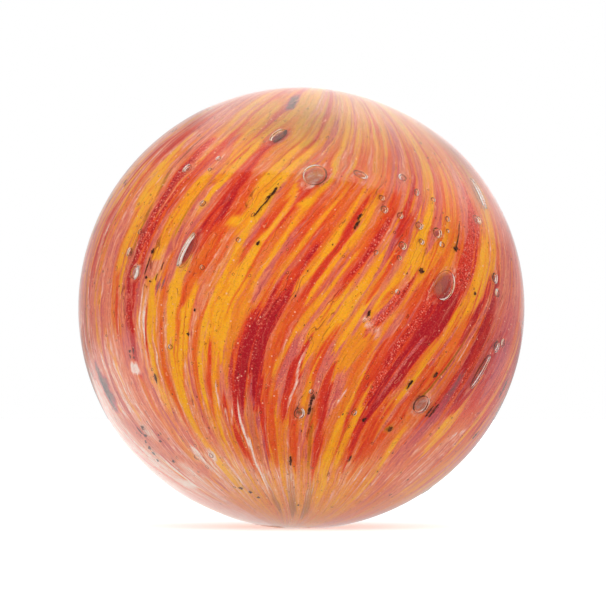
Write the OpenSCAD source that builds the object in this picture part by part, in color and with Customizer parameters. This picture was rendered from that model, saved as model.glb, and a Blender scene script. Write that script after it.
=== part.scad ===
// Handmade glass marble: one fused ball of glass, a little flattened between its two poles,
// with the stub of the glass rod ground away at the lower pole.
// The origin is under the ball's centre, on the ground foot that it stands on, and +Z is up.

/* [Ball] */
// Diameter across the middle, square to the pole axis
equator_d = 44.6; // [25:0.1:70]
// How far each pole is pulled in from a true ball
pole_pull = 0.2; // [0.05:0.05:0.25]
// Lean of the pole axis off the vertical, top towards +X, in degrees
pole_lean = 4.5; // [0:0.5:12]

/* [Ground facets] */
// Nominal width of the foot, the facet ground flat over the lower pole
foot_d = 6.2; // [2:0.1:10]
// Nominal width of the smaller facet ground beside the foot
side_facet_d = 4.6; // [1:0.1:8]
// Angle from the foot round to the smaller facet, towards -X, in degrees
side_facet_angle = 24; // [20:1:70]
// Width of the spot polished flat over the upper pole
polished_tip_d = 1; // [1:0.1:6]

/* [Hidden] */
$fn = 180;
// Radius of the one arc that the outline follows from pole to pole
arc_r = equator_d / 2 - pole_pull;
// Height of the polished tip above the ball's centre, along the pole axis
tip_height = sqrt(arc_r ^ 2 - (polished_tip_d / 2 - pole_pull) ^ 2);
// Glass ground off for a facet of a given width
function ground_depth(width) = arc_r - sqrt(arc_r ^ 2 - (width / 2) ^ 2);
// Distance from the ball's centre to the plane that touches it at an angle from a pole
function reach(angle) = arc_r + pole_pull * sin(abs(angle));
foot_distance = reach(pole_lean) - ground_depth(foot_d);
side_facet_distance = reach(side_facet_angle - pole_lean) - ground_depth(side_facet_d);

// The ball before grinding: one arc turned about the pole axis, with its centre just off it
module blown_ball() {
    rotate([0, pole_lean, 0])
        rotate_extrude()
            intersection() {
                translate([pole_pull, 0]) circle(r = arc_r);
                translate([0, -tip_height]) square([equator_d, 2 * tip_height]);
            }
}

// What the grinding wheel takes: all that lies beyond a plane, at an angle from straight down
module ground_off(angle, distance) {
    rotate([0, angle, 0])
        translate([-equator_d, -equator_d, -distance - equator_d])
            cube([2 * equator_d, 2 * equator_d, equator_d]);
}

module marble() {
    color("darkorange")
        translate([0, 0, foot_distance])
            difference() {
                blown_ball();
                ground_off(0, foot_distance);
                ground_off(side_facet_angle, side_facet_distance);
            }
}

marble();
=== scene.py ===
import math
import random

import bpy
import numpy as np
from mathutils import Matrix, Vector, noise


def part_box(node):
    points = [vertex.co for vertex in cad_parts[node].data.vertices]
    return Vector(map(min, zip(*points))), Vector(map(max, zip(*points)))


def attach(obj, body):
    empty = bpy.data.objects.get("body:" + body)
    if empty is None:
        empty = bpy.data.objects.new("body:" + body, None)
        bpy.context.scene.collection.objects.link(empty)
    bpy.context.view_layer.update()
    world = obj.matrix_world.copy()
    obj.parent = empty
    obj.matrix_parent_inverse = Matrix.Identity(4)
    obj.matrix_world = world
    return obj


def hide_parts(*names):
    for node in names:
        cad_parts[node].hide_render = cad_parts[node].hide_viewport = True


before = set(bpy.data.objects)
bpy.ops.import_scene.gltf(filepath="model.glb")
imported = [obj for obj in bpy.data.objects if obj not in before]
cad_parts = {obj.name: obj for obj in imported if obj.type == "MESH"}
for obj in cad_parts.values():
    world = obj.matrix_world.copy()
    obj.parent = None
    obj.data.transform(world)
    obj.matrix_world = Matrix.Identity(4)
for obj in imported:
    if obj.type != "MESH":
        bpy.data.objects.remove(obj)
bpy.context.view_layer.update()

mm = 0.001
scene = bpy.context.scene
print("marble: frame loaded")


# the shape all the pieces share
ballShape = {
    "polePull": 0.2 * mm,     # pole to centre is this much shorter than the equator's radius
    "poleLean": 4.5,          # degrees the blown pole leans towards +X
    "casing": 0.67 * mm,      # clear glass over the colours
    "crownBack": 16,          # degrees behind the pole where the streaks run together
    "crownFrom": 50, "crownSpan": 40,    # latitude where they start to lean back, and over how far
    "drawnIn": 2.6,           # degrees by which the pattern's sides are drawn towards the front
    # the blower's twist: its waves round the ball, how they grow with latitude, and its end
    "twist": (0.44, -0.12, 0.17, 0.16, 0.13), "twistGrows": (0.10, 0.12, -0.13), "twistEnd": -0.16,
    "twistSteps": 40,
}

low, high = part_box("marble")
equatorRadius = (high.x - low.x) / 2
poleRadius = equatorRadius - ballShape["polePull"]
lean = math.radians(ballShape["poleLean"])
reachUp = math.hypot(equatorRadius * math.sin(lean), poleRadius * math.cos(lean))
centre = Vector(((low.x + high.x) / 2, (low.y + high.y) / 2, high.z - reachUp))
coreShare = 1 - ballShape["casing"] / equatorRadius
degree = math.radians(1) * equatorRadius    # one degree's length on the surface

poleAxis = np.array([math.sin(lean), 0, math.cos(lean)])
rightAxis = np.array([math.cos(lean), 0, -math.sin(lean)])
backAxis = np.array([0, 1, 0])


def smooth(x):
    x = np.clip(x, 0, 1)
    return x * x * (3 - 2 * x)


def twistAt(lat, lon):
    # how far the blower's twist has carried a streak round the ball at this place, in radians
    waves = (1, np.cos(lon), np.sin(lon), np.cos(2 * lon), np.sin(2 * lon))
    first = sum(share * wave for share, wave in zip(ballShape["twist"], waves))
    second = sum(share * wave for share, wave in zip(ballShape["twistGrows"], waves))
    return lat * first + lat ** 2 * second + ballShape["twistEnd"] * lat ** 3


def twistedLon(streak, lat):
    # where the streak of this number runs at this latitude
    lon = np.array(streak, dtype=float)
    for step in range(ballShape["twistSteps"]):
        lon = 0.5 * lon + 0.5 * (streak + twistAt(lat, lon))
    return lon


def onBall(lat, lon, share):
    # a place on the ball, share of its radius out, lon 0 at the front and + to the right;
    # the streaks run together a little behind the top
    right = np.cos(lat) * np.sin(lon)
    back = -np.cos(lat) * np.cos(lon)
    up = np.sin(lat)
    leaning = smooth((np.degrees(lat) - ballShape["crownFrom"]) / ballShape["crownSpan"])
    tip = math.radians(ballShape["crownBack"]) * leaning
    back, up = back * np.cos(tip) + up * np.sin(tip), up * np.cos(tip) - back * np.sin(tip)
    # drawn in towards the front, most at the outline
    away = np.arccos(np.clip(-back, -1, 1))
    moved = away - math.radians(ballShape["drawnIn"]) * np.sin(away)
    pulled = np.sin(moved) / np.maximum(np.sin(away), 1e-9)
    right, up, back = right * pulled, up * pulled, -np.cos(moved)
    out = (right * equatorRadius)[..., None] * rightAxis + (back * equatorRadius)[..., None] * backAxis
    return (out + (up * poleRadius)[..., None] * poleAxis) * share + np.array(centre)


def ready():
    if bpy.context.object and bpy.context.object.mode != "OBJECT":
        bpy.ops.object.mode_set(mode="OBJECT")
    bpy.ops.object.select_all(action="DESELECT")


def pickOut(pieces):
    # selects these, the first of them active
    ready()
    for piece in pieces:
        piece.select_set(True)
    bpy.context.view_layer.objects.active = pieces[0]


def joinAll(pieces):
    pickOut(pieces)
    bpy.ops.object.join()


def editAll():
    bpy.ops.object.mode_set(mode="EDIT")
    bpy.ops.mesh.select_all(action="SELECT")


def settle(piece, name):
    pickOut([piece])
    bpy.ops.object.transform_apply(location=True, rotation=True, scale=True)
    piece.name = name
    piece.data.name = name
    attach(piece, "root")


def wire(tree, start, end):
    tree.links.new(start, end)


nodeGrid = {"columns": 12, "wide": 220, "high": 320}


def put(tree, kind, inputs=None, **values):
    # a node with its inputs set, each to a value or to another node's output
    node = tree.nodes.new("ShaderNode" + kind)
    row, column = divmod(len(tree.nodes), nodeGrid["columns"])
    node.location = (column * nodeGrid["wide"], -row * nodeGrid["high"])
    for key, value in values.items():
        setattr(node, key, value)
    for key, value in (inputs or {}).items():
        if isinstance(value, bpy.types.NodeSocket):
            wire(tree, value, node.inputs[key])
        else:
            node.inputs[key].default_value = value
    return node


def fade(tree, value, start, end=(0, 1), kind="SMOOTHSTEP"):
    # carries a value from the first pair of numbers to the second
    node = put(tree, "MapRange", {
        "From Min": start[0], "From Max": start[1], "To Min": end[0], "To Max": end[1], "Value": value,
    }, interpolation_type=kind)
    return node.outputs[0]


def mathNode(tree, kind, *values):
    return put(tree, "Math", dict(enumerate(values)), operation=kind).outputs[0]


def mixed(tree, share, first, second):
    # a number between two others
    node = put(tree, "Mix", {0: share, 2: first, 3: second}, data_type="FLOAT")
    return node.outputs[0]


def blend(tree, share, first, second):
    # a colour between two others
    node = put(tree, "Mix", {0: share, 6: first, 7: second}, data_type="RGBA")
    return node.outputs[2]


def mixShader(tree, share, first, second):
    return put(tree, "MixShader", {0: share, 1: first.outputs[0], 2: second.outputs[0]})


def ramp(tree, value, stops):
    # a colour ramp through these places and colours
    node = put(tree, "ValToRGB", {0: value})
    bits = node.color_ramp.elements
    while len(bits) < len(stops):
        bits.new(0.5)
    for bit, (place, colour) in zip(bits, stops):
        bit.position = place
    for bit, (place, colour) in zip(bits, stops):
        bit.color = colour
    return node.outputs[0]


def newMaterial(name, looks):
    # a material with these values, its node tree and its main shader
    material = bpy.data.materials.new(name)
    material.use_nodes = True
    body = material.node_tree.nodes["Principled BSDF"]
    for key, value in looks.items():
        body.inputs[key].default_value = value
    return material, material.node_tree, body


def noiseAt(tree, vector, scale, detail):
    return put(tree, "TexNoise", {"Vector": vector, "Scale": scale, "Detail": detail})


def bumpOn(tree, body, height, distance, strength):
    bump = put(tree, "Bump", {"Strength": strength, "Distance": distance, "Height": height})
    wire(tree, bump.outputs[0], body.inputs["Normal"])


def mirrorRay(tree):
    # 1 for what the glass and its bells mirror, 0 for the camera and for light on its way to the colours
    path = put(tree, "LightPath")
    undimmed = mathNode(tree, "LESS_THAN", path.outputs["Diffuse Depth"], 0.5)
    return mathNode(tree, "MULTIPLY", undimmed, path.outputs["Is Glossy Ray"])


def shade(red, green, blue):
    # a colour on screen, 0 to 255, as the shader wants it
    line = []
    for part in (red, green, blue):
        part = part / 255
        line.append(part / 12.92 if part < 0.04045 else ((part + 0.055) / 1.055) ** 2.4)
    return line


glassOver = {"mirrors": 0.006, "keeps": 0.93, "darkest": 0.001, "palest": 0.98}


def underGlass(red, green, blue):
    # glass adds a little white and takes a little colour, so what lies beneath makes up for both
    line = []
    for part in shade(red, green, blue):
        part = max(part - glassOver["mirrors"], glassOver["darkest"]) / glassOver["keeps"]
        line.append(min(part, glassOver["palest"]))
    return (*line, 1)


# camera, lamps and floor
camera = {"lens": 400, "sensor": 36, "distance": 0.673, "side": 0.00016, "up": 0.0008}
# what the glass mirrors is set out by where on the ball it shows: aside and aloft, in radii
lamps = {
    "topAt": (0.075, 0.165, 0.272), "topSize": (0.475, 0.5), "topTurn": -6, "topPower": 1.1,
    "worldFront": 2.5, "worldRear": 0.6, "worldTop": -0.7,
    "roomMirrored": (0.18, 0.4), "roomSpan": (0, 0.6),    # the room in front and behind
    "backdropMirrored": 0.35, "backdropSpan": (0.8, 1),
    "bellsMirror": (0.28, 1.5), "bellsSpan": (0.2, 0.8),  # as the bells inside mirror it
    "softboxEdge": 0.59, "softboxTilt": 0.1, "softboxBow": 0.25,
    "softboxSharp": (0, 0.02), "softboxBlurred": (-0.16, 0.2), "blurredFrom": (0.22, 0.55),
    "softboxLeft": (-0.62, -0.35), "softboxLevel": (1.15, 1.65), "levelSpan": (-0.1, 0.35),
    "softboxTop": 1.55, "topSpan": (0.66, 0.92), "softboxRim": 0.65, "rimSpan": (0.6, 0.95),
}
paper = {
    "size": 1.2, "lift": 0.5, "under": 1.5,
    "looks": {"Base Color": (0.86, 0.86, 0.86, 1), "Roughness": 0.9, "Specular IOR Level": 0.1},
    "mirrored": (1.4, 0.66), "sidesSpan": (-0.02, 0.01),  # to the left and to the right
    "far": 0.45, "farSpan": (0.06, 0.22),
    # the paper the glass mirrors starts this far in front, and runs back to the right and far out
    "edge": -0.016, "edgeSoft": (-0.002, 0.003), "backRight": (0.6, -0.012), "backFar": (0.35, -0.0315),
    "bellsSpan": (-0.02, 0.03),
}

cam = bpy.data.cameras.new("studioCamera")
cam.lens = camera["lens"]
cam.sensor_width = camera["sensor"]
cam.clip_start = 0.01
cam.clip_end = 10
camObject = bpy.data.objects.new("studioCamera", cam)
scene.collection.objects.link(camObject)
camObject.location = (camera["side"], -camera["distance"], centre.z + camera["up"])
camObject.rotation_euler = (math.radians(90), 0, 0)
scene.camera = camObject
scene.view_settings.view_transform = "Standard"


def viaBells(tree, surface, through):
    # what a bell under the surface mirrors is picked by the times light has gone through glass
    path = put(tree, "LightPath")
    inside = mathNode(tree, "GREATER_THAN", path.outputs["Transmission Depth"], 0.5)
    return mixed(tree, inside, surface, through)


def makeWorld():
    world = bpy.data.worlds.new("studio")
    scene.world = world
    world.use_nodes = True
    tree = world.node_tree
    tree.nodes.clear()
    place = put(tree, "TexCoord")
    x, y, z = put(tree, "SeparateXYZ", {0: place.outputs["Generated"]}).outputs
    # what the glass mirrors: a dim room, paler behind, under a softbox with a sharp front edge
    # each way is told by where on the ball it shows, seen from the front
    turned = mathNode(tree, "MULTIPLY_ADD", y, -2, 2)
    turned = mathNode(tree, "MAXIMUM", turned, 0.001)
    turned = mathNode(tree, "INVERSE_SQRT", turned)
    aside = mathNode(tree, "MULTIPLY", x, turned)
    aloft = mathNode(tree, "MULTIPLY", z, turned)
    bow = mathNode(tree, "MULTIPLY_ADD", aside, lamps["softboxBow"], lamps["softboxTilt"])
    edge = mathNode(tree, "MULTIPLY_ADD", aside, bow, aloft)
    edge = mathNode(tree, "SUBTRACT", edge, lamps["softboxEdge"])
    sharp = fade(tree, edge, lamps["softboxSharp"])
    blurred = fade(tree, edge, lamps["softboxBlurred"])
    toRight = fade(tree, aside, lamps["blurredFrom"])
    box = mixed(tree, toRight, sharp, blurred)
    for share in (
        fade(tree, aside, lamps["softboxLeft"]),
        fade(tree, aside, lamps["levelSpan"], lamps["softboxLevel"]),
        fade(tree, y, lamps["rimSpan"], (1, lamps["softboxRim"])),
        fade(tree, aloft, lamps["topSpan"], (1, lamps["softboxTop"])),
    ):
        box = mathNode(tree, "MULTIPLY", box, share)
    room = fade(tree, y, lamps["roomSpan"], lamps["roomMirrored"])
    backdrop = fade(tree, y, lamps["backdropSpan"], (0, lamps["backdropMirrored"]))
    room = mathNode(tree, "ADD", room, backdrop)
    surface = mathNode(tree, "MAXIMUM", box, room)
    byBells = fade(tree, y, lamps["bellsSpan"], lamps["bellsMirror"])
    mirrorWhite = viaBells(tree, surface, byBells)
    # what lights the colours: soft and a little stronger from the front
    span = (lamps["worldFront"], lamps["worldRear"])
    front = fade(tree, y, (-1, 1), span, "LINEAR")
    above = mathNode(tree, "MULTIPLY_ADD", z, lamps["worldTop"], front)
    white = (1, 1, 1, 1)
    seen = put(tree, "Background", {"Color": white})
    mirrored = put(tree, "Background", {"Color": white, "Strength": mirrorWhite})
    lit = put(tree, "Background", {"Color": white, "Strength": above})
    lit = mixShader(tree, mirrorRay(tree), lit, mirrored)
    path = put(tree, "LightPath")
    lit = mixShader(tree, path.outputs["Is Camera Ray"], lit, seen)
    put(tree, "OutputWorld", {0: lit.outputs[0]})


def areaLamp(name, at, size, power, turn):
    # lights the colours; what the glass mirrors of it is in the world
    light = bpy.data.lights.new(name, "AREA")
    light.use_nodes = True
    tree = light.node_tree
    path = put(tree, "LightPath")
    unseen = mathNode(tree, "GREATER_THAN", path.outputs["Diffuse Depth"], 0.5)
    wire(tree, unseen, tree.nodes["Emission"].inputs["Strength"])
    light.shape = "RECTANGLE"
    light.size, light.size_y = size
    light.energy = power
    lamp = bpy.data.objects.new(name, light)
    lamp.location = at
    lamp.rotation_euler = (0, 0, math.radians(turn))
    scene.collection.objects.link(lamp)


def makeFloor():
    ready()
    bpy.ops.mesh.primitive_plane_add(size=paper["size"], location=(0, 0, 0))
    floor = bpy.context.object
    floor.name = "studioFloor"
    material, tree, body = newMaterial("paper", paper["looks"])
    place = put(tree, "TexCoord").outputs["Object"]
    x, y = put(tree, "SeparateXYZ", {0: place}).outputs[:2]
    distance = put(tree, "VectorMath", {0: place}, operation="LENGTH").outputs["Value"]
    # the glass mirrors white paper behind the ball, brighter to the left, and none in front
    beyond = mathNode(tree, "MULTIPLY_ADD", x, *paper["backRight"])
    away = mathNode(tree, "MULTIPLY_ADD", distance, *paper["backFar"])
    beyond = mathNode(tree, "MAXIMUM", beyond, away)
    beyond = mathNode(tree, "MAXIMUM", beyond, 0)
    beyond = mathNode(tree, "ADD", beyond, paper["edge"])
    ahead = mathNode(tree, "SUBTRACT", y, beyond)
    behind = fade(tree, ahead, paper["edgeSoft"])
    sides = fade(tree, x, paper["sidesSpan"], paper["mirrored"])
    far = fade(tree, distance, paper["farSpan"])
    level = mixed(tree, far, sides, paper["far"])
    mirrorWhite = mixed(tree, behind, lamps["roomMirrored"][0], level)
    byBells = fade(tree, y, paper["bellsSpan"], lamps["bellsMirror"])
    mirrorWhite = viaBells(tree, mirrorWhite, byBells)
    mirrored = put(tree, "Emission", {"Strength": mirrorWhite})
    # white to the camera, with the ball's shadow left in it
    path = put(tree, "LightPath")
    lift = mathNode(tree, "MULTIPLY", path.outputs["Is Camera Ray"], paper["lift"])
    glow = put(tree, "Emission", {"Strength": lift})
    shown = put(tree, "AddShader", {0: body.outputs[0], 1: glow.outputs[0]})
    under = put(tree, "Emission", {"Strength": paper["under"]})
    shown = mixShader(tree, path.outputs["Is Transmission Ray"], shown, under)
    shown = mixShader(tree, mirrorRay(tree), shown, mirrored)
    wire(tree, shown.outputs[0], tree.nodes["Material Output"].inputs["Surface"])
    floor.data.materials.append(material)


makeWorld()
areaLamp("topBox", lamps["topAt"], lamps["topSize"], lamps["topPower"], lamps["topTurn"])
makeFloor()
print("marble: camera, lamps and floor set")

# air bells in the clear glass
airBells = {
    "cover": 0.13 * mm, "thick": 0.5 * mm, "gap": 0.06 * mm,
    "thickShare": 0.8,       # a small bell's thickness, in its shorter side
    "pear": 0.14, "largeFrom": 0.8, "large": (32, 18), "small": (16, 10), "tiny": (8, 6),
    "seeds": 420, "seedWidths": (.14, .18, .22, .3), "seedStretch": (1, 1, 1.2, 1.8),
    "seedHeights": (-0.9, 0.95), "seedDepths": (0.2, 0.5),
    "rearBells": 46, "rearWidths": (.5, .5, .6, .7, .8, 1.0, 1.2, 1.6, 2.2), "rearSpread": (0.9, 1.1),
    "rearStretch": (1, 1, 1.1, 1.3, 1.7), "rearStreaks": (80, 282), "rearLats": (-55, 62), "seed": 5,
}

# each bell: streak number, latitude, width and length in mm along the streak
bells = [
    (-36.7, 13, 1.2, 3.7), (-20.4, 38.2, 2.2, 2.5), (-38.5, 51.5, 1.1, 2.2), (-8, 39.5, 1.4, .8),
    (2, 32.5, .6, .6), (4.5, 29, .7, .8), (7.5, 39.5, .8, .8), (14, 35, .5, .9), (18, 25, .8, .8),
    (10.3, 27.5, .6, .7), (20.8, 20.5, .6, .6), (25.5, 23.3, 1.0, 1.1), (28.5, 27.5, .5, .6),
    (28.5, 20, .6, .6), (29.3, 24, .4, .4), (21.5, 33, .5, .5), (16.5, 15.5, .5, .5), (9.2, 16.5, .4, .5),
    (15.5, 19, .8, .8), (22, 6.3, .5, .5), (34.9, 9.2, 2.4, 3.2), (52, -23.5, 1.8, 1.9),
    (67.5, -6, 1.0, 1.1), (70.5, -5, .8, .8), (66, -13, 1.0, 4.0), (11.8, -29, 1.0, 1.2),
    (-55.7, 11.2, .7, .9), (-54.8, 17, .6, .6), (-52.9, 36.7, .9, 1.0), (-46.6, 41, .5, .5),
    (-46, 37, .4, .4), (-40.5, 26.5, .6, .7), (-51.5, 6, 1.1, 1.3), (51.5, 36, 1.5, 3.5),
    (44.3, 28, 1.2, .9), (55.5, 12, .9, 1.0), (58.5, 8, .8, .8), (-35.5, -13, .5, .5),
    (-34.5, -45, .45, .6), (-45, -46, .45, .6), (-30.5, 8.7, .5, .5), (-25.5, 17, .5, .5),
    (13.8, -22.3, .4, .5), (31, -27.5, .5, .6),
]

# what shows through some of the large ones: hue, veil, tone, smoke; partly the colours seen through them,
# partly painted light, mostly paler and less smoky against the shade the bell casts, in (44.3, 28) a
# painted highlight
underBells = {
    (34.9, 9.2): (0.36, 0.9, 0.6, -0.3), (-20.4, 38.2): (0.9, 0.7, 0.82, 0),
    (-36.7, 13): (0.34, 0.5, 0.62, -0.1), (-38.5, 51.5): (0.6, 0.75, 0.3, 0.5),
    (52, -23.5): (0.4, 0.9, 0.68, -0.2), (44.3, 28): (0.2, 1.0, 0.75, 0.0),
}


def addRearBells():
    # the side away from the camera has bells of the same kinds, placed at random
    pick = random.Random(airBells["seed"])
    made = []
    for index in range(airBells["rearBells"]):
        wide = pick.choice(airBells["rearWidths"]) * pick.uniform(*airBells["rearSpread"])
        long = wide * pick.choice(airBells["rearStretch"])
        u, lat = pick.uniform(*airBells["rearStreaks"]), pick.uniform(*airBells["rearLats"])
        made.append((u, lat, wide, long))
    return made


bells = bells + addRearBells()


def bellThickness(wide, long):
    return min(airBells["thick"], airBells["thickShare"] * min(wide, long) * mm)


def frameAt(u, lat):
    # where a streak runs over the ball: point, way along it, way across it, way out
    streak = np.radians([u, u])
    lats = np.radians([lat, lat + 0.5])
    here, further = onBall(lats, twistedLon(streak, lats), 1.0)
    out = Vector(here) - centre
    out.normalize()
    along = Vector(further - here)
    along = (along - along.dot(out) * out).normalized()
    return Vector(here), along, along.cross(out), out


def laidOn(template, u, lat, wide, long, thick, depth):
    # a copy of the template, sized, turned along the streak and sunk this deep under the surface
    here, along, across, out = frameAt(u, lat)
    piece = template.copy()
    piece.data = template.data.copy()
    scene.collection.objects.link(piece)
    turn = Matrix((across * wide / 2, along * long / 2, out * thick / 2)).transposed()
    piece.data.transform(Matrix.Translation(here - out * depth) @ turn.to_4x4())
    return piece


# colours twisted into the glass
colourLayer = {
    "columns": 800, "rows": 124, "frontPacking": 0.3,
    "flowStretch": 0.055,     # how wide streak detail is for its length
    "edges": (0.25, 0.3, 0.4, 0.6, 1.1),    # softness of a painted edge, degrees
    "edgeSeed": 12, "leastSoft": 0.22, "softShare": 0.3, "frayed": 0.22,
    "tip": 6, "tipShare": 0.4,              # how far a streak's end tapers, degrees
    "plainVeil": 0.2, "plainSeedy": 0.22,   # where a streak's paint says nothing of them
    "overThin": 60,           # so many of the narrowest streaks lie over the thin ones
    "patchEdge": (1.3, 0.6), "washEdge": 1.4,
    # washes bring less milk where there is little: from this veil, over this span, at least this share
    "milkFrom": (0.2, 0.25, 0.4),
    "dentBeyond": 0.25, "dentSteep": 1.6, "dentNear": 2 * mm,    # a dent ends this far past its bell, mm
}

channels = ("hue", "veil", "tone", "smokeAndShade", "seedy")
# hue runs 0 crimson, .2 red, .4 vermilion, .6 orange, .8 amber, 1 yellow
# veil is milky glass over it, whose tone runs 0 slate, .2 mauve, .45 pink, .7 salmon, .9 pale, 1 white
# smoke darkens towards brown: smoky glass in some paints, painted shade over the crown, and taken off under
# the bells as painted light
paints = {
    "yellow": {"hue": 0.89}, "amber": {"hue": 0.78}, "orange": {"hue": 0.6}, "vermilion": {"hue": 0.4},
    "red": {"hue": 0.2}, "crimson": {"hue": 0.0}, "seedyRed": {"hue": 0.17, "seedy": 1.0},
    "dustyRed": {"hue": 0.1, "seedy": 0.5}, "seedyCrimson": {"hue": 0.02, "seedy": 1.0},
    "salmon": {"veil": 0.5, "tone": 0.7}, "coral": {"veil": 0.86, "tone": 0.5, "seedy": 0.6},
    "pink": {"veil": 0.68, "tone": 0.46}, "seedyPink": {"veil": 0.68, "tone": 0.4, "seedy": 0.8},
    "mauve": {"veil": 0.75, "tone": 0.25}, "pale": {"veil": 1.0, "tone": 0.88},
    "white": {"veil": 1.3, "tone": 1.1}, "slate": {"veil": 1.4, "tone": -0.15},
    "ochre": {"hue": 0.92, "veil": 0.12, "smokeAndShade": 0.08, "seedy": 0.0}, "rosy": {"veil": 0.8, "tone": 0.62},
    "brown": {"hue": 0.8, "smokeAndShade": 0.5}, "window": {"hue": 0.66, "smokeAndShade": 0.4},
    "faded": {"veil": 0.5, "tone": 0.74, "smokeAndShade": 0.28}, "gold": {"veil": 0.9, "tone": 0.86, "hue": 0.9},
    "petal": {"veil": 0.6, "tone": 0.64, "smokeAndShade": 0.26}, "blush": {"veil": 0.8, "tone": 0.6},
}

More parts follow.
